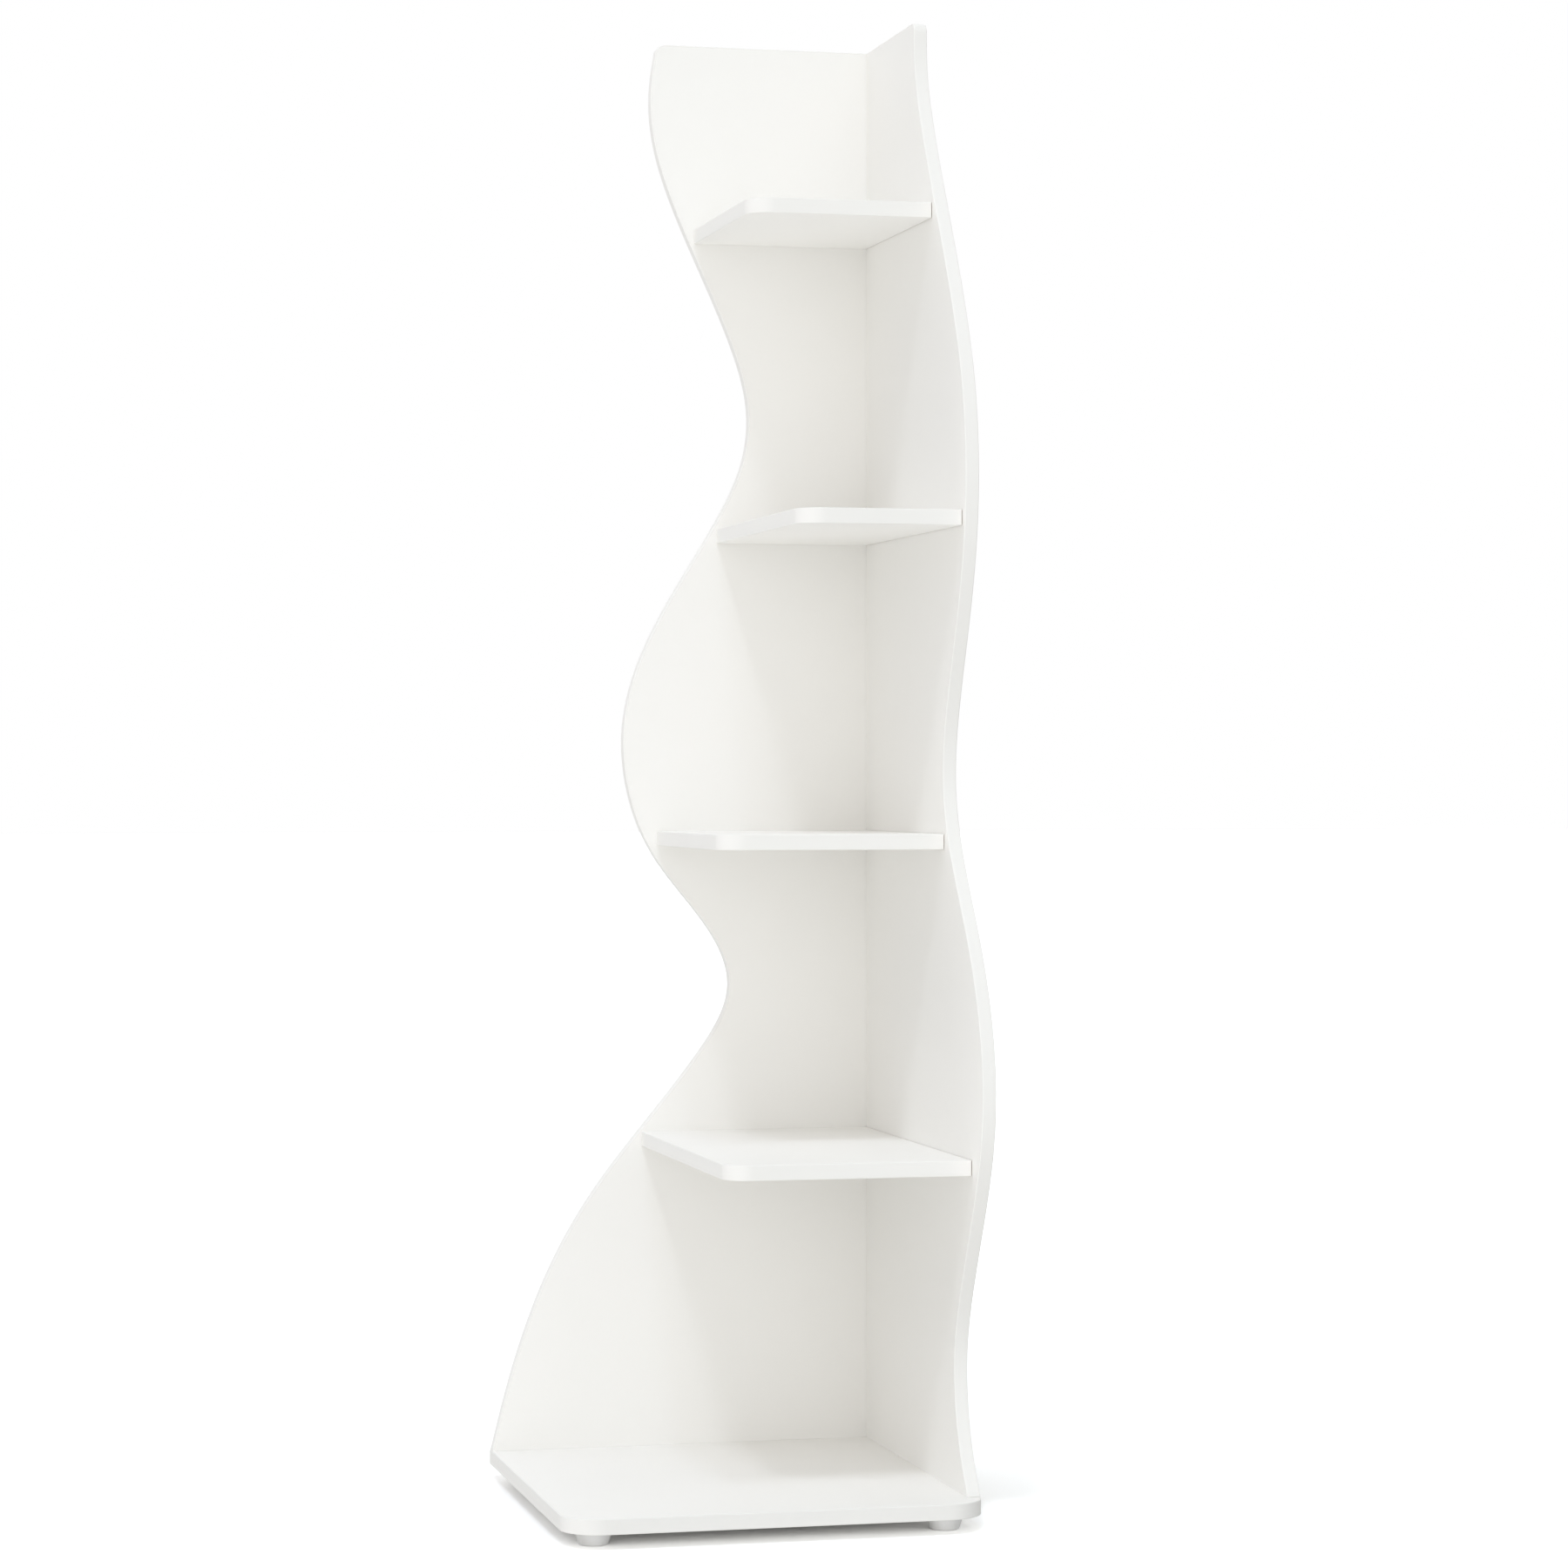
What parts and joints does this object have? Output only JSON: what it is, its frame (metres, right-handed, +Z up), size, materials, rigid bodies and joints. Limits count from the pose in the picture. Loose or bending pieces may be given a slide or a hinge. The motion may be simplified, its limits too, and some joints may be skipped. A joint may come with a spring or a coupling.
{
  "type": "corner bookcase",
  "caption": "Tall white corner bookcase: wave-edged upright boards meet at a right angle over a rounded base board, with shelves of different sizes between them and small tapered feet.",
  "frame": {"origin": "centre of the overall footprint at floor level", "axes": "+Z up, +Y to the rear (the back panel's wall side), +X to the right (the side panel's wall side); the open front is -Y"},
  "size_m": [0.4884, 0.5278, 1.76],
  "materials": {
    "white_laminate": "chipboard faced and edged in smooth white melamine, satin",
    "foot_plastic": "light grey moulded plastic, fine matt texture",
    "zinc_steel": "zinc-plated steel"
  },
  "bodies": {
    "root": {"back_panel": "white_laminate", "base_board": "white_laminate", "base_screw_back_left": "zinc_steel", "base_screw_back_middle": "zinc_steel", "base_screw_back_right": "zinc_steel", "base_screw_side_front": "zinc_steel", "base_screw_side_middle": "zinc_steel", "base_screw_side_rear": "zinc_steel", "corner_screw_1": "zinc_steel", "corner_screw_2": "zinc_steel", "corner_screw_3": "zinc_steel", "corner_screw_4": "zinc_steel", "corner_screw_5": "zinc_steel", "foot_front_left": "foot_plastic", "foot_front_right": "foot_plastic", "foot_rear_left": "foot_plastic", "foot_rear_right": "foot_plastic", "foot_screw_front_left": "zinc_steel", "foot_screw_front_right": "zinc_steel", "foot_screw_rear_left": "zinc_steel", "foot_screw_rear_right": "zinc_steel", "shelf_1": "white_laminate", "shelf_1_back_screw_left": "zinc_steel", "shelf_1_back_screw_right": "zinc_steel", "shelf_1_side_screw_front": "zinc_steel", "shelf_1_side_screw_rear": "zinc_steel", "shelf_2": "white_laminate", "shelf_2_back_screw_left": "zinc_steel", "shelf_2_back_screw_right": "zinc_steel", "shelf_2_side_screw_front": "zinc_steel", "shelf_2_side_screw_rear": "zinc_steel", "shelf_3": "white_laminate", "shelf_3_back_screw_left": "zinc_steel", "shelf_3_back_screw_right": "zinc_steel", "shelf_3_side_screw_front": "zinc_steel", "shelf_3_side_screw_rear": "zinc_steel", "shelf_4": "white_laminate", "shelf_4_back_screw_left": "zinc_steel", "shelf_4_back_screw_right": "zinc_steel", "shelf_4_side_screw_front": "zinc_steel", "shelf_4_side_screw_rear": "zinc_steel", "side_panel": "white_laminate"}
  },
  "joints": []
}
